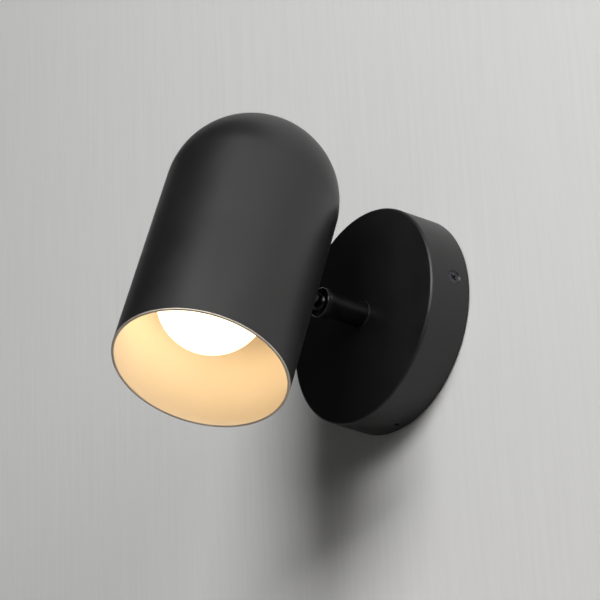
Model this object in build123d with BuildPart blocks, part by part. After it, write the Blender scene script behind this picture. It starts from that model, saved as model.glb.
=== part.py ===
from build123d import *
from math import cos, radians, sin, sqrt
import os

# An outdoor wall spotlight: a capsule shade on a short swivel stem and a round canopy.
# Millimetres. The wall is the plane y = 0, the room lies towards -Y and +Z is up.
# The origin is the middle of the canopy where it meets the wall.

os.makedirs("parts", exist_ok=True)

# Clearances
running_gap = 0.05  # round a shaft that turns in its bore
thrust_gap = 0.1  # between faces that turn past each other
seat_gap = 0.05  # between pieces that are clamped or pressed together
loose_gap = 0.2  # round a fastener in its clearance hole

# Canopy: a die-cast dish
gasket_thickness = 1.0
gasket_inset = 0.5
canopy_diameter = 120.0
canopy_depth = 25.0
canopy_wall = 2.5
canopy_edge_radius = 1.5
canopy_inner_fillet = 2.0
boss_diameter = 30.0
boss_height = 3.0
drain_hole_diameter = 3.0
drain_hole_from_wall = 6.0

# Side screws, through the rim into the bracket's ears, sunk below the rim's surface
side_screw_diameter = 3.5
side_screw_head_diameter = 6.6
side_screw_sink = 0.75
side_screw_length = 7.0
side_screw_from_wall = 10.4
recess_length = 4.0
recess_width = 0.9
recess_depth = 1.2
recess_turn = 45.0

# Mounting bracket: a bent strap that is screwed to the wall box
bracket_width = 16.0
bracket_thickness = 2.0
bracket_bend_radius = 2.0
bracket_ear_margin = 5.0
bracket_tip_radius = 3.0
bracket_centre_hole = 10.0
box_slot_spacing = 79.375
box_slot_travel = 9.525
box_slot_width = 4.8
ground_screw_diameter = 4.0
ground_screw_head_diameter = 8.0
ground_screw_head_height = 2.6
ground_screw_offset = 21.0
ground_slot_width = 1.2
ground_slot_depth = 1.2

# Stem: turned rod with a threaded tail and a flared cup
bushing_flange_diameter = 16.4
bushing_flange_thickness = 1.0
bushing_wall = 1.0
bushing_edge_radius = 0.3
tail_diameter = 10.0
stem_diameter = 13.5
stem_length = 27.4
stem_bore = 6.4
cup_wall = 2.75
cup_rim_radius = 0.9
cup_mouth_chamfer = 0.6
flare_lead = 4.0
flare_to_rim = 2.5
keyway_width = 2.0
keyway_depth = 0.9

# Stack on the stem's tail, inside the canopy
spring_washer_height = 1.2
spring_washer_thickness = 0.7
tail_washer_diameter = 17.0
stop_washer_thickness = 1.5
stop_tab_reach = 13.5
stop_tab_width = 4.0
stop_pin_diameter = 3.0
stop_pin_circle_radius = 11.5
stop_pin_seat = 2.0
stop_pin_overlap = 0.5
stem_nut_width = 14.0
stem_nut_thickness = 5.0
tail_end_spare = 1.0
nut_chamfer = 0.8

# Swivel: a ball on a hollow neck, pinned in the stem's cup
ball_diameter = 10.8
ball_in_cup = 2.5
neck_diameter = 6.4
neck_bore = 3.8
ball_back_opening = 6.2
ball_back_depth = 3.0
pivot_pin_diameter = 2.5
pivot_pin_reach = 3.0
seat_thickness = 1.2
seat_bore = 6.4
seat_overlap = 1.2
neck_collar_diameter = 14.0
neck_collar_thickness = 1.0
saddle_thickness = 1.5
stud_diameter = 8.0

# Shade: a capsule shell, tilted as it hangs
shade_tilt = 18.5
shade_diameter = 93.5
shade_straight = 117.0
shade_wall = 1.5
shade_rim_radius = 0.4
shade_gap_to_pivot = 10.7
shade_mouth_to_neck = 84.5

# Socket bracket: a bent strap inside the shade
strap_width = 18.0
strap_thickness = 1.5
strap_bend_radius = 4.0
strap_below_neck = 12.0
strap_straight_above_neck = 20.0
strap_lean_in = 6.5
strap_past_socket = 10.0
strap_corner_radius = 3.0
stud_washer_diameter = 15.0
stud_washer_thickness = 1.0
stud_nut_width = 13.0
stud_nut_thickness = 5.0
stud_end_spare = 1.0
washer_teeth = 10
washer_tooth_depth = 1.6
washer_tooth_gap = 1.5
inner_saddle_diameter = 16.0

# Lamp: an opal globe on a screw cap
bulb_axis_offset = 5.0
bulb_recess = 15.1
bulb_length = 106.0
globe_diameter = 59.0
globe_wall = 1.2
globe_past_middle = 10.0
bulb_neck_diameter = 27.0
cap_diameter = 26.1
cap_wall = 0.5
cap_length = 21.0
insulator_length = 2.6
insulator_end_diameter = 11.0
bulb_contact_diameter = 9.5
bulb_contact_height = 1.5
led_board_diameter = 44.0
led_board_thickness = 1.6
led_count = 12
led_circle_radius = 17.0
led_size = 3.0
led_height = 0.8

# Lampholder
socket_diameter = 38.0
socket_end_diameter = 28.0
socket_taper = 9.0
socket_edge_radius = 1.5
socket_floor = 6.4
socket_mouth_back = 1.5
shell_wall = 0.6
shell_length = 21.5
contact_flange_diameter = 12.0
contact_flange_thickness = 0.5
contact_button_diameter = 6.0
contact_spring_gap = 0.1
nipple_diameter = 9.9
nipple_bore = 7.0
nipple_depth = 4.5
nipple_end_spare = 2.0
socket_washer_diameter = 16.0
socket_washer_thickness = 1.0
socket_nut_width = 14.0
socket_nut_thickness = 4.0

# Distances from the wall along the stem's axis
canopy_radius = canopy_diameter / 2
canopy_back = gasket_thickness
canopy_front = canopy_back + canopy_depth
boss_face = canopy_front - canopy_wall - boss_height
stem_base = canopy_front + bushing_flange_thickness + thrust_gap
stem_rim = stem_base + stem_length
pivot_from_wall = stem_rim - ball_in_cup
spring_washer_back = boss_face - thrust_gap - spring_washer_height
stop_washer_back = spring_washer_back - stop_washer_thickness
stem_nut_back = stop_washer_back - stem_nut_thickness
tail_end = stem_nut_back - tail_end_spare

# Radii about the stem's axis
tail_radius = tail_diameter / 2
bushing_bore_radius = tail_radius + running_gap
bushing_radius = bushing_bore_radius + bushing_wall
ball_radius = ball_diameter / 2
cup_bore_radius = ball_radius + running_gap
cup_radius = cup_bore_radius + cup_wall
cup_floor = pivot_from_wall - ball_radius - running_gap - seat_thickness

# Planes: local x is always +X
wall_section = Plane(origin=(0, 0, 0), x_dir=(1, 0, 0), z_dir=(0, 0, -1))
head = Plane(
    origin=(0, -pivot_from_wall, 0),
    x_dir=(1, 0, 0),
    z_dir=(0, sin(radians(shade_tilt)), cos(radians(shade_tilt))),
)
neck_plane = Plane(origin=head.origin, x_dir=head.x_dir, z_dir=-head.y_dir)
neck_section = Plane(origin=head.origin, x_dir=head.x_dir, z_dir=-head.z_dir)
neck_axis = Axis(head.origin, -head.y_dir)

shade_radius = shade_diameter / 2
shade_inner_radius = shade_radius - shade_wall
neck_to_axis = shade_radius + shade_gap_to_pivot
mouth = head.from_local_coords((0, -neck_to_axis, -shade_mouth_to_neck))
shade_plane = Plane(origin=mouth, x_dir=head.x_dir, z_dir=head.z_dir)
shade_section = Plane(origin=mouth, x_dir=head.x_dir, z_dir=-head.y_dir)
shade_side = Plane(origin=mouth, x_dir=head.y_dir, z_dir=head.x_dir)
shade_axis = Axis(mouth, head.z_dir)

bulb_foot = shade_plane.from_local_coords((0, -bulb_axis_offset, 0))
bulb_plane = Plane(origin=bulb_foot, x_dir=head.x_dir, z_dir=head.z_dir)
bulb_section = Plane(origin=bulb_foot, x_dir=head.x_dir, z_dir=-head.y_dir)
bulb_axis = Axis(bulb_foot, head.z_dir)


def band(inner, outer, start, end):
    """A rectangle of a section: from one radius to another, between two heights."""
    with Locations(((inner + outer) / 2, (start + end) / 2)):
        Rectangle(outer - inner, abs(end - start))


def nut(plane, width, thickness, bore):
    """A hexagon nut, with its corners turned off at both ends."""
    with BuildSketch(plane) as blank:
        Circle(width / sqrt(3))
    extrude(blank.sketch, amount=thickness)
    chamfer(edges().filter_by(GeomType.CIRCLE), nut_chamfer)
    with BuildSketch(plane) as outline:
        RegularPolygon(width / 2, 6, major_radius=False)
        Circle(bore, mode=Mode.SUBTRACT)
    extrude(outline.sketch, amount=thickness, mode=Mode.INTERSECT)


def lock_washer(plane, diameter, thickness, bore):
    """A lock washer with teeth round its edge, pressed flat by its nut."""
    with BuildSketch(plane) as outline:
        Circle(diameter / 2)
        Circle(bore, mode=Mode.SUBTRACT)
        with PolarLocations(diameter / 2, washer_teeth):
            Rectangle(2 * washer_tooth_depth, washer_tooth_gap, mode=Mode.SUBTRACT)
    extrude(outline.sketch, amount=thickness)


# Canopy
bore = bushing_radius + seat_gap
boss_radius = boss_diameter / 2
canopy_inner_radius = canopy_radius - canopy_wall
plate_back = canopy_front - canopy_wall
stop_pin_radius = stop_pin_diameter / 2
side_screw_radius = side_screw_diameter / 2
side_screw_head_radius = side_screw_head_diameter / 2
sink_radius = side_screw_head_radius + side_screw_sink + seat_gap
with BuildPart() as canopy:
    with BuildSketch(wall_section):
        with BuildLine():
            Polyline(
                (bore, canopy_front),
                (canopy_radius, canopy_front),
                (canopy_radius, canopy_back),
                (canopy_inner_radius, canopy_back),
                (canopy_inner_radius, plate_back),
                (boss_radius, plate_back),
                (boss_radius, boss_face),
                (bore, boss_face),
                close=True,
            )
        make_face()
    revolve(axis=Axis.Y)
    front_rims, plate_rims = canopy.edges().filter_by(GeomType.CIRCLE).group_by(Axis.Y)[:2]
    fillet(front_rims.sort_by(SortBy.RADIUS)[-1], canopy_edge_radius)
    fillet(plate_rims.sort_by(SortBy.RADIUS)[-1], canopy_inner_fillet)
    for side in (1, -1):
        with Locations(Plane(origin=(side * canopy_radius, -side_screw_from_wall, 0), z_dir=(side, 0, 0))):
            CounterSinkHole(side_screw_radius + loose_gap, sink_radius, 2 * canopy_wall, 90)
    with Locations(Plane(origin=(0, -drain_hole_from_wall, -canopy_radius), z_dir=(0, 0, -1))):
        Hole(drain_hole_diameter / 2, 2 * canopy_wall)
    with Locations(Plane(origin=(0, -boss_face, stop_pin_circle_radius), z_dir=(0, 1, 0))):
        Hole(stop_pin_radius + seat_gap, stop_pin_seat)
canopy.part.label = "canopy"
export_step(canopy.part, "parts/canopy.step")

# Foam ring between the canopy's rim and the wall
with BuildPart() as wall_gasket:
    with BuildSketch(wall_section):
        band(canopy_inner_radius, canopy_radius - gasket_inset, 0, gasket_thickness)
    revolve(axis=Axis.Y)
wall_gasket.part.label = "wall_gasket"
export_step(wall_gasket.part, "parts/wall_gasket.step")

# Mounting bracket: its ears stand just inside the canopy's rim
ear_reach = sqrt((canopy_inner_radius - loose_gap) ** 2 - (bracket_width / 2) ** 2)
ear_height = side_screw_from_wall + bracket_ear_margin
with BuildPart() as mounting_bracket:
    with BuildSketch(wall_section):
        with BuildLine():
            FilletPolyline(
                (-ear_reach, ear_height),
                (-ear_reach, 0),
                (ear_reach, 0),
                (ear_reach, ear_height),
                radius=bracket_bend_radius + bracket_thickness,
            )
            offset(amount=bracket_thickness, side=Side.LEFT)
        make_face()
    extrude(amount=bracket_width / 2, both=True)
    tips = mounting_bracket.edges().filter_by(Axis.X).group_by(Axis.Y)[0]
    fillet(tips, bracket_tip_radius)
    with BuildSketch(Plane.XZ):
        Circle(bracket_centre_hole / 2)
        with GridLocations(box_slot_spacing, 0, 2, 1):
            SlotOverall(box_slot_travel + box_slot_width, box_slot_width)
        with Locations((ground_screw_offset, 0)):
            Circle(ground_screw_diameter / 2 + seat_gap)
    extrude(amount=bracket_thickness, mode=Mode.SUBTRACT)
    with BuildSketch(Plane.YZ):
        with Locations((-side_screw_from_wall, 0)):
            Circle(side_screw_radius + seat_gap)
    extrude(amount=canopy_radius, both=True, mode=Mode.SUBTRACT)
mounting_bracket.part.label = "mounting_bracket"
export_step(mounting_bracket.part, "parts/mounting_bracket.step")

# Ground screw on the bracket
ground_head_face = bracket_thickness + ground_screw_head_height
with BuildPart() as ground_screw:
    with BuildSketch(Plane.XZ):
        with Locations((ground_screw_offset, 0)):
            Circle(ground_screw_diameter / 2)
    extrude(amount=bracket_thickness)
    with BuildSketch(Plane.XZ.offset(bracket_thickness)):
        with Locations((ground_screw_offset, 0)):
            Circle(ground_screw_head_diameter / 2)
    extrude(amount=ground_screw_head_height)
    with BuildSketch(Plane.XZ.offset(ground_head_face)):
        with Locations((ground_screw_offset, 0)):
            Rectangle(ground_screw_head_diameter, ground_slot_width)
    extrude(amount=-ground_slot_depth, mode=Mode.SUBTRACT)
ground_screw.part.label = "ground_screw"
export_step(ground_screw.part, "parts/ground_screw.step")

# Side screws: one turned about its own axis, and its mirror image
head_face = canopy_radius - side_screw_sink
head_height = side_screw_head_radius - side_screw_radius
screw_axis = Axis((0, -side_screw_from_wall, 0), (1, 0, 0))
screw_section = Plane(origin=(0, -side_screw_from_wall, 0), x_dir=(1, 0, 0), z_dir=(0, 0, 1))
with BuildPart() as side_screws:
    with BuildSketch(screw_section):
        with BuildLine():
            Polyline(
                (head_face, 0),
                (head_face, side_screw_head_radius),
                (head_face - head_height, side_screw_radius),
                (head_face - side_screw_length, side_screw_radius),
                (head_face - side_screw_length, 0),
                close=True,
            )
        make_face()
    revolve(axis=screw_axis)
    with BuildSketch(Plane(origin=(head_face, -side_screw_from_wall, 0), z_dir=(1, 0, 0))):
        Rectangle(recess_length, recess_width, rotation=recess_turn)
        Rectangle(recess_width, recess_length, rotation=recess_turn)
    extrude(amount=-recess_depth, mode=Mode.SUBTRACT)
    mirror(about=Plane.YZ)
side_screws.part.label = "side_screws"
export_step(side_screws.part, "parts/side_screws.step")

# Flanged bushing that the stem turns in
with BuildPart() as swivel_bushing:
    with BuildSketch(wall_section):
        band(bushing_bore_radius, bushing_radius, boss_face, canopy_front)
        band(
            bushing_bore_radius,
            bushing_flange_diameter / 2,
            canopy_front,
            canopy_front + bushing_flange_thickness,
        )
    revolve(axis=Axis.Y)
    flange_rims = swivel_bushing.edges().filter_by(GeomType.CIRCLE).group_by(Axis.Y)[0]
    fillet(flange_rims.sort_by(SortBy.RADIUS)[-1], bushing_edge_radius)
swivel_bushing.part.label = "swivel_bushing"
export_step(swivel_bushing.part, "parts/swivel_bushing.step")

# Stop pin in the canopy's boss
with BuildPart() as stop_pin:
    with BuildSketch(Plane.XZ.offset(stop_washer_back - stop_pin_overlap)):
        with Locations((0, stop_pin_circle_radius)):
            Circle(stop_pin_radius)
    extrude(amount=boss_face + stop_pin_seat - stop_washer_back + stop_pin_overlap)
stop_pin.part.label = "stop_pin"
export_step(stop_pin.part, "parts/stop_pin.step")

# Stem
stem_radius = stem_diameter / 2
flare_start = cup_floor - flare_lead
flare_end = stem_rim - flare_to_rim
pivot_pin_radius = pivot_pin_diameter / 2
with BuildPart() as stem:
    with BuildSketch(wall_section):
        with BuildLine():
            Polyline(
                (stem_bore / 2, tail_end),
                (tail_radius, tail_end),
                (tail_radius, stem_base),
                (stem_radius, stem_base),
                (stem_radius, flare_start),
            )
            Spline(
                (stem_radius, flare_start),
                (cup_radius, flare_end),
                tangents=((0, 1), (0, 1)),
            )
            Polyline(
                (cup_radius, flare_end),
                (cup_radius, stem_rim),
                (cup_bore_radius, stem_rim),
                (cup_bore_radius, cup_floor),
                (stem_bore / 2, cup_floor),
                (stem_bore / 2, tail_end),
            )
        make_face()
    revolve(axis=Axis.Y)
    rim_edges = stem.edges().filter_by(GeomType.CIRCLE).group_by(Axis.Y)[0].sort_by(SortBy.RADIUS)
    fillet(rim_edges[-1], cup_rim_radius)
    chamfer(rim_edges[0], cup_mouth_chamfer)
    with BuildSketch(Plane.XZ.offset(tail_end)):
        with Locations((0, -tail_radius)):
            Rectangle(keyway_width, 2 * keyway_depth)
    extrude(amount=spring_washer_back - tail_end, mode=Mode.SUBTRACT)
    with BuildSketch(Plane.YZ):
        with Locations((-pivot_from_wall, 0)):
            Circle(pivot_pin_radius + seat_gap)
    extrude(amount=cup_radius, both=True, mode=Mode.SUBTRACT)
stem.part.label = "stem"
export_step(stem.part, "parts/stem.step")

# Coned spring washer, keyed stop washer and nut on the stem's tail
tail_hole = tail_radius + seat_gap
tail_washer_radius = tail_washer_diameter / 2
spring_washer_front = spring_washer_back + spring_washer_height
with BuildPart() as spring_washer:
    with BuildSketch(wall_section):
        with BuildLine():
            Polyline(
                (tail_hole, spring_washer_back),
                (tail_washer_radius, spring_washer_front - spring_washer_thickness),
                (tail_washer_radius, spring_washer_front),
                (tail_hole, spring_washer_back + spring_washer_thickness),
                close=True,
            )
        make_face()
    revolve(axis=Axis.Y)
spring_washer.part.label = "spring_washer"
export_step(spring_washer.part, "parts/spring_washer.step")

with BuildPart() as stop_washer:
    with BuildSketch(Plane.XZ.offset(stop_washer_back)):
        Circle(tail_washer_radius)
        with Locations((0, -stop_tab_reach / 2)):
            Rectangle(stop_tab_width, stop_tab_reach)
        Circle(tail_hole, mode=Mode.SUBTRACT)
        with Locations((0, -tail_hole)):
            Rectangle(keyway_width - 2 * seat_gap, 2 * keyway_depth)
    extrude(amount=stop_washer_thickness)
stop_washer.part.label = "stop_washer"
export_step(stop_washer.part, "parts/stop_washer.step")

with BuildPart() as stem_nut:
    nut(Plane.XZ.offset(stem_nut_back), stem_nut_width, stem_nut_thickness, tail_hole)
stem_nut.part.label = "stem_nut"
export_step(stem_nut.part, "parts/stem_nut.step")

# Two short pins carry the ball, so that its bore stays clear for the leads
pin_end = sqrt((cup_radius - seat_gap) ** 2 - pivot_pin_radius**2)
with BuildPart() as pivot_pins:
    with BuildSketch(Plane.YZ.offset(pivot_pin_reach)):
        with Locations((-pivot_from_wall, 0)):
            Circle(pivot_pin_radius)
    extrude(amount=pin_end - pivot_pin_reach)
    mirror(about=Plane.YZ)
pivot_pins.part.label = "pivot_pins"
export_step(pivot_pins.part, "parts/pivot_pins.step")

# Friction seat behind the ball, hollowed to the ball's shape
with BuildPart() as friction_seat:
    with BuildSketch(wall_section):
        band(
            seat_bore / 2,
            cup_bore_radius - seat_gap,
            cup_floor,
            cup_floor + seat_thickness + seat_overlap,
        )
        with Locations((0, pivot_from_wall)):
            Circle(cup_bore_radius, mode=Mode.SUBTRACT)
    revolve(axis=Axis.Y)
friction_seat.part.label = "friction_seat"
export_step(friction_seat.part, "parts/friction_seat.step")

# Swivel ball, with its neck, collar and hollow stud
neck_radius = neck_diameter / 2
stud_radius = stud_diameter / 2
collar_radius = neck_collar_diameter / 2
collar_face = shade_gap_to_pivot - saddle_thickness
strap_outer = sqrt(shade_inner_radius**2 - (strap_width / 2) ** 2) - loose_gap
strap_inner = strap_outer - strap_thickness
washer_inner = strap_inner - stud_washer_thickness
nut_inner = washer_inner - stud_nut_thickness
stud_end = neck_to_axis - nut_inner + stud_end_spare
opening_radius = ball_back_opening / 2
ball_front = sqrt(ball_radius**2 - neck_radius**2)
ball_back = -sqrt(ball_radius**2 - opening_radius**2)
with BuildPart() as swivel_ball:
    with BuildSketch(neck_section):
        with BuildLine():
            ThreePointArc((opening_radius, ball_back), (ball_radius, 0), (neck_radius, ball_front))
            Polyline(
                (neck_radius, ball_front),
                (neck_radius, collar_face - neck_collar_thickness),
                (collar_radius, collar_face - neck_collar_thickness),
                (collar_radius, collar_face),
                (stud_radius, collar_face),
                (stud_radius, stud_end),
                (neck_bore / 2, stud_end),
                (neck_bore / 2, ball_back + ball_back_depth),
                (opening_radius, ball_back),
            )
        make_face()
    revolve(axis=neck_axis)
    with BuildSketch(Plane.YZ):
        with Locations((-pivot_from_wall, 0)):
            Circle(pivot_pin_radius + running_gap)
    extrude(amount=cup_radius, both=True, mode=Mode.SUBTRACT)
swivel_ball.part.label = "swivel_ball"
export_step(swivel_ball.part, "parts/swivel_ball.step")

# Shade
stud_hole = stud_radius + loose_gap
half_way = cos(radians(45))
with BuildPart() as shade:
    with BuildSketch(shade_section):
        with BuildLine():
            Polyline(
                (shade_inner_radius, shade_straight),
                (shade_inner_radius, 0),
                (shade_radius, 0),
                (shade_radius, shade_straight),
            )
            ThreePointArc(
                (shade_radius, shade_straight),
                (shade_radius * half_way, shade_straight + shade_radius * half_way),
                (0, shade_straight + shade_radius),
            )
            Line((0, shade_straight + shade_radius), (0, shade_straight + shade_inner_radius))
            ThreePointArc(
                (0, shade_straight + shade_inner_radius),
                (shade_inner_radius * half_way, shade_straight + shade_inner_radius * half_way),
                (shade_inner_radius, shade_straight),
            )
        make_face()
    revolve(axis=shade_axis)
    fillet(shade.edges().filter_by(GeomType.CIRCLE).group_by(shade_axis)[0], shade_rim_radius)
    with BuildSketch(neck_plane):
        Circle(stud_hole)
    extrude(amount=neck_to_axis, mode=Mode.SUBTRACT)
shade.part.label = "shade"
export_step(shade.part, "parts/shade.step")

# Rubber saddle between the neck's collar and the shade's round wall
with BuildPart() as saddle_gasket:
    with BuildSketch(neck_plane.offset(collar_face)):
        Circle(collar_radius)
        Circle(stud_hole, mode=Mode.SUBTRACT)
    extrude(amount=2 * saddle_thickness)
    with BuildSketch(shade_plane):
        Circle(shade_radius + seat_gap)
    extrude(amount=shade_straight, mode=Mode.SUBTRACT)
saddle_gasket.part.label = "saddle_gasket"
export_step(saddle_gasket.part, "parts/saddle_gasket.step")

# Metal saddle that seats the flat strap against the shade's wall from inside
with BuildPart() as inner_saddle:
    with BuildSketch(shade_plane):
        Circle(shade_inner_radius - seat_gap)
    extrude(amount=shade_straight)
    with BuildSketch(neck_plane.offset(neck_to_axis - strap_outer)):
        Circle(inner_saddle_diameter / 2)
        Circle(stud_hole, mode=Mode.SUBTRACT)
    extrude(amount=-2 * (shade_inner_radius - strap_outer), mode=Mode.INTERSECT)
inner_saddle.part.label = "inner_saddle"
export_step(inner_saddle.part, "parts/inner_saddle.step")

# Lamp and lampholder heights, from the shade's mouth
globe_radius = globe_diameter / 2
globe_middle = bulb_recess + globe_radius
globe_end = globe_middle + globe_past_middle
globe_end_radius = sqrt(globe_radius**2 - globe_past_middle**2)
contact_end = bulb_recess + bulb_length
insulator_end = contact_end - bulb_contact_height
cap_end = insulator_end - insulator_length
cap_start = cap_end - cap_length
socket_mouth = cap_start + socket_mouth_back
contact_top = contact_end + contact_spring_gap
cavity_floor = contact_top + contact_flange_thickness + bulb_contact_height
socket_end = cavity_floor + socket_floor
cap_radius = cap_diameter / 2
shell_inner_radius = cap_radius + loose_gap
shell_radius = shell_inner_radius + shell_wall

# Strap from the neck's nut, up and over the lampholder
strap_top = socket_end
strap_lean_radius = strap_outer - strap_lean_in
nipple_radius = nipple_diameter / 2
with BuildPart() as socket_bracket:
    with BuildSketch(shade_side):
        with BuildLine():
            FilletPolyline(
                (strap_outer, shade_mouth_to_neck - strap_below_neck),
                (strap_outer, shade_mouth_to_neck + strap_straight_above_neck),
                (strap_lean_radius, strap_top + strap_thickness),
                (-bulb_axis_offset - strap_past_socket, strap_top + strap_thickness),
                radius=strap_bend_radius,
            )
            offset(amount=strap_thickness, side=Side.LEFT)
        make_face()
    extrude(amount=strap_width / 2, both=True)
    lower_corners = socket_bracket.edges().filter_by(neck_axis).group_by(SortBy.LENGTH)[0]
    upper_corners = socket_bracket.edges().filter_by(shade_axis).group_by(SortBy.LENGTH)[0]
    fillet(lower_corners + upper_corners, strap_corner_radius)
    with BuildSketch(neck_plane):
        Circle(stud_hole)
    extrude(amount=neck_to_axis, mode=Mode.SUBTRACT)
    with BuildSketch(bulb_plane.offset(strap_top)):
        Circle(nipple_radius + loose_gap)
    extrude(amount=strap_thickness, mode=Mode.SUBTRACT)
socket_bracket.part.label = "socket_bracket"
export_step(socket_bracket.part, "parts/socket_bracket.step")

# Lock washer and nut on the neck's stud
with BuildPart() as stud_washer:
    lock_washer(
        neck_plane.offset(neck_to_axis - strap_inner),
        stud_washer_diameter,
        stud_washer_thickness,
        stud_hole,
    )
stud_washer.part.label = "stud_washer"
export_step(stud_washer.part, "parts/stud_washer.step")

with BuildPart() as stud_nut:
    nut(
        neck_plane.offset(neck_to_axis - washer_inner),
        stud_nut_width,
        stud_nut_thickness,
        stud_radius + seat_gap,
    )
stud_nut.part.label = "stud_nut"
export_step(stud_nut.part, "parts/stud_nut.step")

# Lampholder body
socket_radius = socket_diameter / 2
cavity_radius = shell_radius + seat_gap
with BuildPart() as socket_body:
    with BuildSketch(bulb_section):
        with BuildLine():
            Polyline(
                (cavity_radius, socket_mouth),
                (socket_radius, socket_mouth),
                (socket_radius, socket_end - socket_taper),
                (socket_end_diameter / 2, socket_end),
                (nipple_radius + seat_gap, socket_end),
                (nipple_radius + seat_gap, socket_end - nipple_depth),
                (0, socket_end - nipple_depth),
                (0, cavity_floor),
                (cavity_radius, cavity_floor),
                close=True,
            )
        make_face()
    revolve(axis=bulb_axis)
    fillet(socket_body.edges().filter_by(GeomType.CIRCLE).group_by(SortBy.RADIUS)[-1], socket_edge_radius)
socket_body.part.label = "socket_body"
export_step(socket_body.part, "parts/socket_body.step")

with BuildPart() as socket_shell:
    with BuildSketch(bulb_section):
        band(shell_inner_radius, shell_radius, cavity_floor - shell_length, cavity_floor)
    revolve(axis=bulb_axis)
socket_shell.part.label = "socket_shell"
export_step(socket_shell.part, "parts/socket_shell.step")

with BuildPart() as socket_contact:
    with BuildSketch(bulb_section):
        band(0, contact_flange_diameter / 2, cavity_floor - contact_flange_thickness, cavity_floor)
        band(0, contact_button_diameter / 2, contact_top, cavity_floor)
    revolve(axis=bulb_axis)
socket_contact.part.label = "socket_contact"
export_step(socket_contact.part, "parts/socket_contact.step")

# Hollow nipple, lock washer and nut that hold the lampholder on the strap
strap_back = strap_top + strap_thickness
socket_nut_start = strap_back + socket_washer_thickness
nipple_end = socket_nut_start + socket_nut_thickness + nipple_end_spare
with BuildPart() as socket_nipple:
    with BuildSketch(bulb_section):
        band(nipple_bore / 2, nipple_radius, socket_end - nipple_depth, nipple_end)
    revolve(axis=bulb_axis)
socket_nipple.part.label = "socket_nipple"
export_step(socket_nipple.part, "parts/socket_nipple.step")

with BuildPart() as socket_washer:
    lock_washer(
        bulb_plane.offset(strap_back),
        socket_washer_diameter,
        socket_washer_thickness,
        nipple_radius + loose_gap,
    )
socket_washer.part.label = "socket_washer"
export_step(socket_washer.part, "parts/socket_washer.step")

with BuildPart() as socket_nut:
    nut(
        bulb_plane.offset(socket_nut_start),
        socket_nut_width,
        socket_nut_thickness,
        nipple_radius + seat_gap,
    )
socket_nut.part.label = "socket_nut"
export_step(socket_nut.part, "parts/socket_nut.step")

# Opal globe
with BuildPart() as bulb_globe:
    with BuildSketch(bulb_section):
        with Locations((0, globe_middle)):
            Circle(globe_radius)
            Circle(globe_radius - globe_wall, mode=Mode.SUBTRACT)
        with Locations((globe_radius, (bulb_recess + globe_end) / 2)):
            Rectangle(2 * globe_radius, globe_end - bulb_recess, mode=Mode.INTERSECT)
    revolve(axis=bulb_axis)
bulb_globe.part.label = "bulb_globe"
export_step(bulb_globe.part, "parts/bulb_globe.step")

# Board of light-emitting chips on the lamp's body
with BuildPart() as led_board:
    with BuildSketch(bulb_plane.offset(globe_end)):
        Circle(led_board_diameter / 2)
    extrude(amount=-led_board_thickness)
    with BuildSketch(bulb_plane.offset(globe_end - led_board_thickness)):
        with PolarLocations(led_circle_radius, led_count):
            Rectangle(led_size, led_size)
    extrude(amount=-led_height)
led_board.part.label = "led_board"
export_step(led_board.part, "parts/led_board.step")

# Lamp body: carries on from the globe and draws in to the cap
bulb_neck_radius = bulb_neck_diameter / 2
stub_radius = cap_radius - cap_wall - seat_gap
with BuildPart() as bulb_body:
    with BuildSketch(bulb_section):
        with BuildLine():
            Line((0, globe_end), (globe_end_radius, globe_end))
            Spline(
                (globe_end_radius, globe_end),
                (bulb_neck_radius, cap_start),
                tangents=((-globe_past_middle, globe_end_radius), (0, 1)),
            )
            Polyline(
                (bulb_neck_radius, cap_start),
                (stub_radius, cap_start),
                (stub_radius, cap_end),
                (0, cap_end),
                (0, globe_end),
            )
        make_face()
    revolve(axis=bulb_axis)
bulb_body.part.label = "bulb_body"
export_step(bulb_body.part, "parts/bulb_body.step")

with BuildPart() as bulb_cap:
    with BuildSketch(bulb_section):
        band(cap_radius - cap_wall, cap_radius, cap_start, cap_end)
    revolve(axis=bulb_axis)
bulb_cap.part.label = "bulb_cap"
export_step(bulb_cap.part, "parts/bulb_cap.step")

with BuildPart() as bulb_insulator:
    with BuildSketch(bulb_section):
        with BuildLine():
            Polyline(
                (0, cap_end),
                (cap_radius, cap_end),
                (insulator_end_diameter / 2, insulator_end),
                (0, insulator_end),
                close=True,
            )
        make_face()
    revolve(axis=bulb_axis)
bulb_insulator.part.label = "bulb_insulator"
export_step(bulb_insulator.part, "parts/bulb_insulator.step")

with BuildPart() as bulb_contact:
    with BuildSketch(bulb_section):
        band(0, bulb_contact_diameter / 2, insulator_end, contact_end)
    revolve(axis=bulb_axis)
bulb_contact.part.label = "bulb_contact"
export_step(bulb_contact.part, "parts/bulb_contact.step")
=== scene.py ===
from math import cos, radians, sin, tau

import bmesh
import bpy
from mathutils import Matrix, Vector


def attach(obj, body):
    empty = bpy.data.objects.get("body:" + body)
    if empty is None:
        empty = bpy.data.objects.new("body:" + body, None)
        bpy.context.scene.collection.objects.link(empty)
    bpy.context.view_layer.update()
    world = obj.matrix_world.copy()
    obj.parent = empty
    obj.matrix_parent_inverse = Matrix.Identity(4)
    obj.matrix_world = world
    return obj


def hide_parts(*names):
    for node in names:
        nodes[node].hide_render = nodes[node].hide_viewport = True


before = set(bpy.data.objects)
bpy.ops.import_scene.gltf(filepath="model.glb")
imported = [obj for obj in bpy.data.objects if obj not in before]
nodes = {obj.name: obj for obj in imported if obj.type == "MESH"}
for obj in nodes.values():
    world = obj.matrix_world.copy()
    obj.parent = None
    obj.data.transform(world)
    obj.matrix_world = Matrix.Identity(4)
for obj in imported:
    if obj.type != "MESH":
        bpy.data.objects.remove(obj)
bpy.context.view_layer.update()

mm = 0.001
scene = bpy.context.scene
scene.view_settings.view_transform = "Standard"
print("frame loaded:", len(nodes), "nodes")

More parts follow.
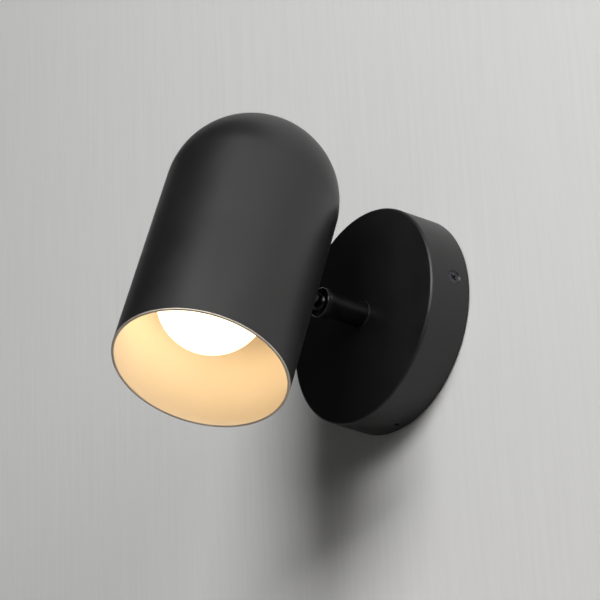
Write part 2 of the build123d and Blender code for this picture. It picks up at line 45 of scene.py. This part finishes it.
# the lines that the turned pieces share: the stem's axis and the tilted shade's
layout = {
    "tilt": 18.5,              # degrees, as the shade hangs
    "pivotFromWall": 52.0,     # mm
    "neckToAxis": 57.45,       # mm, pivot to the shade's axis
    "mouthToNeck": 84.5,       # mm, along the shade
}
tilt = radians(layout["tilt"])
shadeAxis = Vector((0, sin(tilt), cos(tilt)))     # from the mouth to the dome
towardsWall = Vector((0, cos(tilt), -sin(tilt)))  # from the shade to the stem
stemAxis = Vector((0, -1, 0))                     # from the wall into the room
wallPoint = Vector((0, 0, 0))                     # the canopy's middle, on the wall
pivot = stemAxis * layout["pivotFromWall"] * mm
mouth = pivot - (towardsWall * layout["neckToAxis"] + shadeAxis * layout["mouthToNeck"]) * mm


# Materials

def linear(hexCode):
    channels = [int(hexCode[i:i + 2], 16) / 255 for i in (1, 3, 5)]
    return [c / 12.92 if c <= 0.04045 else ((c + 0.055) / 1.055) ** 2.4 for c in channels] + [1]


def addNode(owner, kind, inputs=None, **settings):
    tree = owner.node_tree
    node = tree.nodes.new(kind)
    for key, value in settings.items():
        setattr(node, key, value)
    for key, value in (inputs or {}).items():
        if isinstance(value, bpy.types.NodeSocket):
            tree.links.new(value, node.inputs[key])
        else:
            node.inputs[key].default_value = value
    return node


def perMetre(size):
    return 1 / (size * mm)  # a texture's scale for features of that size in mm


# what all finishes share
finishLook = {
    "patchDetail": 3.0,        # finer layers within the patches
    "patchLow": 0.3,           # the patches' noise lies between these two
    "patchHigh": 0.7,
    "grainStrength": 0.5,
}


def finish(name, dark, light, patch, rough, grain, depth, stretch=(1, 1, 1),
           pattern="ShaderNodeTexNoise", **constants):
    # two tones in patches, a roughness that follows them, and a grain of that size and depth, all in mm
    material = bpy.data.materials.new(name)
    material.use_nodes = True
    shader = material.node_tree.nodes["Principled BSDF"]
    for key, value in constants.items():
        shader.inputs[key.replace("_", " ")].default_value = value
    where = addNode(material, "ShaderNodeTexCoord").outputs["Object"]
    along = addNode(material, "ShaderNodeMapping", {"Vector": where, "Scale": stretch}).outputs[0]
    patches = addNode(material, "ShaderNodeTexNoise", {
        "Vector": along, "Scale": perMetre(patch), "Detail": finishLook["patchDetail"]}).outputs[0]
    grains = addNode(material, pattern, {"Vector": along, "Scale": perMetre(grain)}).outputs[0]
    tone = addNode(material, "ShaderNodeMix", {
        "Factor": patches, "A": linear(dark), "B": linear(light)}, data_type="RGBA").outputs["Result"]
    gloss = addNode(material, "ShaderNodeMapRange", {
        "Value": patches, "From Min": finishLook["patchLow"], "From Max": finishLook["patchHigh"],
        "To Min": rough[0], "To Max": rough[1]}).outputs[0]
    relief = addNode(material, "ShaderNodeBump", {
        "Height": grains, "Strength": finishLook["grainStrength"], "Distance": depth * mm}).outputs[0]
    for socket, source in (("Base Color", tone), ("Roughness", gloss), ("Normal", relief)):
        material.node_tree.links.new(source, shader.inputs[socket])
    return material


# Shaping

mergeDistance = 0.002  # mm, corners of a spun shape that are closer than this become one
sharpAngle = 32        # degrees, an edge that turns further than this stays crisp


def lathe(profile, origin, axis, steps, arcSteps, closed=True):
    # corners are (radius, height, rounding) in mm; the profile is spun once round its axis
    # a rounding has arcSteps, or one step for each mm where that is more
    shape = bmesh.new()
    corners = [shape.verts.new(origin + (Vector((radius, 0, 0)) + axis * height) * mm)
               for radius, height, rounding in profile]
    for start, end in zip(corners, corners[1:] + corners[:1] if closed else corners[1:]):
        shape.edges.new((start, end))
    for corner, (radius, height, rounding) in zip(corners, profile):
        if rounding:
            bmesh.ops.bevel(shape, geom=[corner], offset=rounding * mm, offset_type="OFFSET",
                            affect="VERTICES", segments=max(arcSteps, int(rounding)), profile=0.5,
                            material=-1)
    bmesh.ops.spin(shape, geom=shape.verts[:] + shape.edges[:], cent=origin, axis=axis, angle=tau,
                   steps=steps, use_merge=True)
    bmesh.ops.remove_doubles(shape, verts=shape.verts, dist=mergeDistance * mm)
    bmesh.ops.recalc_face_normals(shape, faces=shape.faces)
    return shape


def rod(start, axis, radius, length, steps):
    # a cylinder from start along axis, in mm
    shape = bmesh.new()
    bmesh.ops.create_cone(shape, cap_ends=True, segments=steps, radius1=radius * mm, radius2=radius * mm,
                          depth=length * mm)
    bmesh.ops.translate(shape, vec=(0, 0, length / 2 * mm), verts=shape.verts)
    turn = axis.to_track_quat("Z", "Y").to_matrix().to_4x4()
    bmesh.ops.transform(shape, matrix=Matrix.Translation(start) @ turn, verts=shape.verts)
    return shape


def looseObject(name, shape):
    data = bpy.data.meshes.new(name)
    shape.to_mesh(data)
    shape.free()
    item = bpy.data.objects.new(name, data)
    scene.collection.objects.link(item)
    return item


def cutAway(shape, cutter):
    # takes the cutter out of the shape and gives the shape back
    target = looseObject("cutTarget", shape)
    tool = looseObject("cutter", cutter)
    cut = target.modifiers.new("cut", "BOOLEAN")
    cut.operation = "DIFFERENCE"
    cut.solver = "EXACT"
    cut.object = tool
    done = bpy.data.meshes.new_from_object(target.evaluated_get(bpy.context.evaluated_depsgraph_get()))
    result = bmesh.new()
    result.from_mesh(done)
    for item in (target, tool):
        data = item.data
        bpy.data.objects.remove(item)
        bpy.data.meshes.remove(data)
    bpy.data.meshes.remove(done)
    return result


def addPiece(name, shape, materials, body, replaced):
    piece = looseObject(name, shape)
    for material in materials:
        piece.data.materials.append(material)
    piece.data.shade_smooth()
    piece.data.set_sharp_from_angle(angle=radians(sharpAngle))
    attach(piece, body)
    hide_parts(*replaced)
    print(name, "has", len(piece.data.polygons), "faces")


def facing(place, aim):
    turn = (Vector(aim) - Vector(place)).to_track_quat("-Z", "Y").to_matrix().to_4x4()
    return Matrix.Translation(place) @ turn


# Camera

camera = {
    "place": (1.12805, -0.94883, -0.78171),   # m
    "aim": (-0.00884, -0.06, 0.00364),        # m
    "lean": 2.8504,            # degrees, the top of the picture leans right
    "lens": 185.30,            # mm
    "sensor": 36,              # mm wide
    "nearest": 0.01,           # m, the closest that it draws
}
view = bpy.data.cameras.new("camera")
view.lens = camera["lens"]
view.sensor_width = camera["sensor"]
view.clip_start = camera["nearest"]
viewObject = bpy.data.objects.new("camera", view)
scene.collection.objects.link(viewObject)
lean = Matrix.Rotation(-radians(camera["lean"]), 4, "Z")
viewObject.matrix_world = facing(camera["place"], camera["aim"]) @ lean
scene.camera = viewObject

# Stage: a painted wall, the wall box behind the canopy and a floor

stage = {
    "wallReach": 5.0,          # m, from the lamp to the wall's edge
    "wallBehind": 0.1,         # mm behind the canopy's foam ring
    "brushWidth": 3.4,         # mm between brush marks, which run down the wall
    "brushSquash": 0.035,      # a mark's width over its length
    "holeRadius": 57.0,        # mm, the opening in the wall behind the canopy
    "holeSteps": 96,
    "boxBehind": 1.0,          # mm, from the foam ring's back to the box in that opening
    "floorDrop": 2.2,          # m below the lamp
}
# matt emulsion laid on with a wide brush: pale grey, with faint streaks from top to bottom
wallPaint = finish("matt_emulsion_wall", "#d7d7d6", "#e1e1e0", patch=stage["brushWidth"], rough=(0.85, 0.9),
                   grain=1.2, depth=0.01, stretch=(1, 1, stage["brushSquash"]))
# painted shade: a dark, dull sheet in the wall's opening stands in for the unlit inside of the wall box
boxShadePaint = finish("painted_shade_wall_box", "#262626", "#303030", patch=20, rough=(0.7, 0.8), grain=1.2, depth=0.01)
# sealed screed: pale, nearly even and matt
floorPaint = finish("pale_floor", "#d2d1cf", "#d9d8d6", patch=400, rough=(0.75, 0.85), grain=2.0, depth=0.02)


def againstWall(name, shape, behind, material):
    # stands a flat shape upright, that many mm behind the foam ring's back, with its face to the room
    bmesh.ops.rotate(shape, cent=(0, 0, 0), matrix=Matrix.Rotation(radians(90), 3, "X"), verts=shape.verts)
    bmesh.ops.translate(shape, vec=(0, behind * mm, 0), verts=shape.verts)
    shape.normal_update()
    if shape.faces[:][0].normal.y > 0:
        bmesh.ops.reverse_faces(shape, faces=shape.faces)
    item = looseObject(name, shape)
    item.data.materials.append(material)
    return item


holeRadius = stage["holeRadius"] * mm
wallShape = bmesh.new()
bmesh.ops.create_circle(wallShape, segments=stage["holeSteps"], radius=holeRadius)
outer = bmesh.ops.extrude_edge_only(wallShape, edges=wallShape.edges[:])["geom"]
outer = [item for item in outer if isinstance(item, bmesh.types.BMVert)]
bmesh.ops.scale(wallShape, vec=Vector((1, 1, 1)) * stage["wallReach"] / holeRadius, verts=outer)
wall = againstWall("wall", wallShape, stage["wallBehind"], wallPaint)

# the box's dark sheet fills the opening with painted shade, so the drain hole is dark, but the light behind
# still reaches the canopy's back
boxShape = bmesh.new()
bmesh.ops.create_circle(boxShape, cap_ends=True, segments=stage["holeSteps"], radius=holeRadius)
wallBox = againstWall("wall_box", boxShape, stage["boxBehind"], boxShadePaint)
wallBox.visible_shadow = False

floorShape = bmesh.new()
bmesh.ops.create_grid(floorShape, x_segments=1, y_segments=1, size=stage["wallReach"])
bmesh.ops.translate(floorShape, vec=(0, 0, -stage["floorDrop"]), verts=floorShape.verts)
floor = looseObject("floor", floorShape)
floor.data.materials.append(floorPaint)

# Soft boxes: where they stand and how wide they are in m, and how strong

softBoxes = {
    "key": {"place": (0.957, -1.870, 0.845), "width": 1.29, "height": 0.81,
            "watts": 40.0, "colour": "#ffffff"},
    "right": {"place": (1.774, -0.666, 0.440), "width": 0.42, "height": 0.96,
              "watts": 11.6, "colour": "#fffdfa"},
    "high": {"place": (1.160, -0.882, 1.414), "width": 1.7, "height": 1.5,
             "watts": 5.2, "colour": "#ffffff"},
    "back": {"place": (-0.3, 1.9, 0.8), "width": 4.0, "height": 1.8,
             "watts": 220.0, "colour": "#ffffff"},
}
lightAim = (0, -0.07, 0)       # m, between the canopy and the shade
for boxName, softBox in softBoxes.items():
    light = bpy.data.lights.new(boxName, "AREA")
    light.shape = "RECTANGLE"
    light.size = softBox["width"]
    light.size_y = softBox["height"]
    light.energy = softBox["watts"]
    light.color = linear(softBox["colour"])[:3]
    lightObject = bpy.data.objects.new(boxName, light)
    lightObject.matrix_world = facing(softBox["place"], lightAim)
    scene.collection.objects.link(lightObject)

# Room

room = {
    "seen": "#c4c4c4",         # what shows past the lit stretch of wall
    "colour": "#ffffff",       # its faint light all round
    "light": 0.025,            # how bright that is
    "wallFrom": 0.65,          # m from the lamp, where the wall starts to go over into the tone that shows
    "wallTo": 1.6,             # m, where it is all in that tone
}
world = bpy.data.worlds.new("studio")
scene.world = world
world.use_nodes = True
roomLight = world.node_tree.nodes["Background"]
roomLight.inputs["Color"].default_value = linear(room["colour"])
roomLight.inputs["Strength"].default_value = room["light"]
# the room, the floor and the far wall show in one pale tone, so no edge is seen between them
for owner, paleKind, litName, endName in (
        (world, "ShaderNodeBackground", "Background", "World Output"),
        (floorPaint, "ShaderNodeEmission", "Principled BSDF", "Material Output"),
        (wallPaint, "ShaderNodeEmission", "Principled BSDF", "Material Output")):
    pale = addNode(owner, paleKind, {"Color": linear(room["seen"])})
    share = addNode(owner, "ShaderNodeLightPath").outputs["Is Camera Ray"]
    if owner == wallPaint:
        fromLamp = addNode(owner, "ShaderNodeVectorMath", {
            0: addNode(owner, "ShaderNodeTexCoord").outputs["Object"]}, operation="LENGTH")
        share = addNode(owner, "ShaderNodeMapRange", {
            "Value": fromLamp.outputs["Value"], "From Min": room["wallFrom"], "From Max": room["wallTo"],
            "To Max": share}).outputs[0]
    seen = addNode(owner, "ShaderNodeMixShader", {
        0: share, 1: owner.node_tree.nodes[litName].outputs[0], 2: pale.outputs[0]})
    owner.node_tree.links.new(seen.outputs[0], owner.node_tree.nodes[endName].inputs["Surface"])
# the wall and its box are one-sided, so that the lamp can be looked at from behind
for material in (wallPaint, boxShadePaint):
    surface = material.node_tree.nodes["Material Output"].inputs["Surface"]
    side = addNode(material, "ShaderNodeNewGeometry")
    clear = addNode(material, "ShaderNodeBsdfTransparent")
    oneSided = addNode(material, "ShaderNodeMixShader", {
        0: side.outputs["Backfacing"], 1: surface.links[0].from_socket, 2: clear.outputs[0]})
    material.node_tree.links.new(oneSided.outputs[0], surface)
print("stage, lights and camera are set")

# Finishes of the lamp

# polyester powder coat, sprayed dry and baked: a faint orange peel spreads highlights into a wide satin sheen
# the real peel is about 0.4 mm, drawn at 0.9 mm so that it shows
blackCoat = finish("black_powder_coat", "#0d0d0e", "#121213", patch=24, rough=(0.4, 0.46),
                   grain=0.9, depth=0.008, IOR=1.58)
# the same coat in cream inside the shade: it warms the lamp's light with every bounce
creamCoat = finish("cream_powder_coat", "#f3e4d0", "#f8ead8", patch=18, rough=(0.48, 0.56),
                   grain=0.9, depth=0.008)
# the mouth's lip is turned bare after coating: a thin satin line of aluminium
bareLip = finish("turned_aluminium_lip", "#ddd2c5", "#e7dccf", patch=12, rough=(0.64, 0.72),
                 grain=1.5, depth=0.002, Metallic=1.0)
# the coat flows out smoother on the small turned stem: its edges glint and its round side stays dark
smoothCoat = finish("smooth_black_powder_coat", "#0b0b0c", "#101011", patch=10, rough=(0.2, 0.27),
                    grain=0.6, depth=0.003)
# black oxide on turned steel: near black with a metal's deep shine
blackOxide = finish("black_oxide_steel", "#4b4b4f", "#5b5b60", patch=4, rough=(0.24, 0.34),
                    grain=0.5, depth=0.004, Metallic=1.0)
# the ball and its neck are oiled after blackening: darker, with small bright spots where light falls
oiledOxide = finish("oiled_black_oxide_steel", "#2b2b2e", "#38383c", patch=3, rough=(0.22, 0.32),
                    grain=0.5, depth=0.004, Metallic=1.0)
# bright zinc on rolled and pressed steel: bluish grey, with rolling lines along the strip
zincPlate = finish("zinc_plated_steel", "#b4b8bd", "#cfd2d4", patch=5, rough=(0.26, 0.42),
                   grain=0.7, depth=0.006, stretch=(0.12, 1, 1), Metallic=1.0)
# green dyed zinc marks the earth screw
greenZinc = finish("green_dyed_zinc", "#1f6b39", "#2f8049", patch=3, rough=(0.3, 0.42),
                   grain=0.5, depth=0.004, Metallic=0.6)
# closed-cell foam: matt, with fine cut cells
foam = finish("closed_cell_foam", "#161616", "#222222", patch=2, rough=(0.9, 0.98),
              grain=0.7, depth=0.06, pattern="ShaderNodeTexVoronoi")
# moulded rubber: matt black with a dusty bloom
sealRubber = finish("moulded_seal_rubber", "#131313", "#1d1d1d", patch=5, rough=(0.7, 0.85),
                    grain=0.5, depth=0.008)
# acetal: a slick moulded plastic, slightly waxy
acetal = finish("black_acetal", "#121213", "#1a1a1b", patch=8, rough=(0.34, 0.44), grain=0.6, depth=0.003)
# undyed moulded nylon: the yellowish white of bone
nylon = finish("natural_nylon", "#d8cfb8", "#e4dcc8", patch=6, rough=(0.4, 0.5), grain=0.6, depth=0.004)
# porcelain: an off-white body, slightly uneven, under a clear wet glaze
porcelain = finish("glazed_porcelain", "#e6e2d8", "#f2efe8", patch=9, rough=(0.1, 0.2),
                   grain=3.0, depth=0.02, Coat_Weight=0.6, Coat_Roughness=0.05)
# nickel over brass: warm silver
nickel = finish("nickel_plate", "#b9b2a4", "#d0cabe", patch=4, rough=(0.18, 0.3),
                grain=0.6, depth=0.004, Metallic=1.0)
# stamped brass, left bare: warm yellow with duller spots
brass = finish("bare_brass", "#b08a43", "#cda55a", patch=3, rough=(0.24, 0.4),
               grain=0.5, depth=0.005, Metallic=1.0)
# black glass, poured and pressed into the lamp's cap: a deep wet gloss
blackGlass = finish("black_vitreous_insulator", "#0a0a0b", "#111112", patch=5, rough=(0.06, 0.14),
                    grain=2.0, depth=0.01)
# moulded white plastic over the lamp's body: an even soft sheen
lampPlastic = finish("white_lamp_plastic", "#e4e3de", "#eeede9", patch=12, rough=(0.36, 0.46),
                     grain=0.8, depth=0.006)
# printed solder mask on the chip board: smooth white that throws the light forward
boardMask = finish("white_solder_mask", "#dcdcd8", "#ebebe7", patch=4, rough=(0.3, 0.4),
                   grain=0.5, depth=0.004)
# opal polycarbonate, lit by the chips behind it: warm white, brightest at its tip and dimmer towards its body
lampGlow = {"colour": "#f6e0b6", "tip": 2.75, "base": 1.5}
opal = finish("lit_opal_globe", "#f4f1ea", "#faf8f3", patch=10, rough=(0.3, 0.4), grain=0.8, depth=0.003,
              Emission_Color=linear(lampGlow["colour"]))
globeHeights = [vertex.co.dot(shadeAxis) for vertex in nodes["bulb_globe"].data.vertices]
globeHeight = addNode(opal, "ShaderNodeVectorMath", {
    0: addNode(opal, "ShaderNodeTexCoord").outputs["Object"], 1: shadeAxis}, operation="DOT_PRODUCT")
glow = addNode(opal, "ShaderNodeMapRange", {
    "Value": globeHeight.outputs["Value"], "From Min": min(globeHeights), "From Max": max(globeHeights),
    "To Min": lampGlow["tip"], "To Max": lampGlow["base"]})
opalShader = opal.node_tree.nodes["Principled BSDF"]
opal.node_tree.links.new(glow.outputs[0], opalShader.inputs["Emission Strength"])
print("finishes are mixed")

# Shade: a spun shell, black outside and cream inside, with a bare lip at its mouth

shadeSizes = {
    "radius": 46.75,           # mm, as the other lengths
    "wall": 1.5,
    "straight": 117.0,         # from the mouth to the dome
    "rimRounding": 0.4,
    "bareOutside": 0.55,       # how far the bare lip comes up the outside
    "bareInside": 0.36,        # and the inside
    "studHole": 4.2,           # radius
    "steps": 192,              # round the shade
    "holeSteps": 48,
    "arcSteps": 8,
}
outerRadius = shadeSizes["radius"]
innerRadius = outerRadius - shadeSizes["wall"]
rimRounding = shadeSizes["rimRounding"]
straight = shadeSizes["straight"]
shadeShape = lathe([
    (0, straight + innerRadius, 0), (innerRadius, straight + innerRadius, innerRadius),
    (innerRadius, 0, rimRounding), (outerRadius, 0, rimRounding), (outerRadius, shadeSizes["bareOutside"], 0),
    (outerRadius, straight + outerRadius, outerRadius), (0, straight + outerRadius, 0),
], mouth, shadeAxis, shadeSizes["steps"], shadeSizes["arcSteps"], closed=False)
studDrill = rod(pivot, -towardsWall, shadeSizes["studHole"], layout["neckToAxis"], shadeSizes["holeSteps"])
shadeShape = cutAway(shadeShape, studDrill)
shadeCoats = [blackCoat, creamCoat, bareLip]
domeCentre = mouth + shadeAxis * straight * mm
wallMiddle = (outerRadius + innerRadius) / 2
for face in shadeShape.faces:
    middle = face.calc_center_median()
    height = (middle - mouth).dot(shadeAxis)
    base = domeCentre if height > straight * mm else mouth + shadeAxis * height
    outside = (middle - base).length > wallMiddle * mm
    bareTo = shadeSizes["bareOutside"] if outside else shadeSizes["bareInside"]
    coat = bareLip if height < bareTo * mm else blackCoat if outside else creamCoat
    face.material_index = shadeCoats.index(coat)
addPiece("shade_shell", shadeShape, shadeCoats, "lamp_head", ["shade"])

# Foam ring: squeezed between the canopy and the wall, so its edges bulge

ringSizes = {
    "inner": 57.5,             # mm, radius
    "outer": 59.5,
    "thickness": 1.0,
    "edge": 0.42,              # rounding
    "steps": 160,
    "arcSteps": 5,
}
ringShape = lathe([
    (radius, height, ringSizes["edge"]) for radius, height in (
        (ringSizes["inner"], 0), (ringSizes["outer"], 0),
        (ringSizes["outer"], ringSizes["thickness"]), (ringSizes["inner"], ringSizes["thickness"]))
], wallPoint, stemAxis, ringSizes["steps"], ringSizes["arcSteps"])
addPiece("foam_ring", ringShape, [foam], "wall_base", ["wall_gasket"])

# Rubber saddle: flat under the neck's collar, hollowed to the shade's round wall

saddleSizes = {
    "hole": 4.2,               # mm, radius
    "radius": 7.0,
    "fromPivot": 9.2,
    "reach": 3.0,              # its depth before the hollow is cut
    "edge": 0.45,              # rounding under the collar
    "steps": 96,
    "arcSteps": 5,
}
saddleTop = saddleSizes["fromPivot"]
saddleEnd = saddleTop + saddleSizes["reach"]
saddleShape = lathe([
    (saddleSizes["hole"], saddleTop, 0), (saddleSizes["radius"], saddleTop, saddleSizes["edge"]),
    (saddleSizes["radius"], saddleEnd, 0), (saddleSizes["hole"], saddleEnd, 0),
], pivot, -towardsWall, saddleSizes["steps"], saddleSizes["arcSteps"])
shadeBody = rod(mouth, shadeAxis, outerRadius, straight, shadeSizes["steps"])
saddleShape = cutAway(saddleShape, shadeBody)
addPiece("rubber_saddle", saddleShape, [sealRubber], "lamp_head", ["saddle_gasket"])

# Nodes that keep the solids' own shape, with the finish of their real material

nodeFinishes = {
    blackCoat: ["canopy"],
    smoothCoat: ["stem"],
    blackOxide: ["side_screws", "pivot_pins"],
    oiledOxide: ["swivel_ball"],
    zincPlate: ["mounting_bracket", "stop_pin", "spring_washer", "stop_washer", "stem_nut", "inner_saddle",
                "socket_bracket", "stud_washer", "stud_nut", "socket_nipple", "socket_washer", "socket_nut"],
    greenZinc: ["ground_screw"],
    acetal: ["swivel_bushing"],
    nylon: ["friction_seat"],
    porcelain: ["socket_body"],
    nickel: ["socket_shell", "bulb_cap"],
    brass: ["socket_contact", "bulb_contact"],
    blackGlass: ["bulb_insulator"],
    lampPlastic: ["bulb_body"],
    opal: ["bulb_globe"],
    boardMask: ["led_board"],
}
for material, names in nodeFinishes.items():
    for name in names:
        nodes[name].data.materials.clear()
        nodes[name].data.materials.append(material)
print("finishes are on the solids")
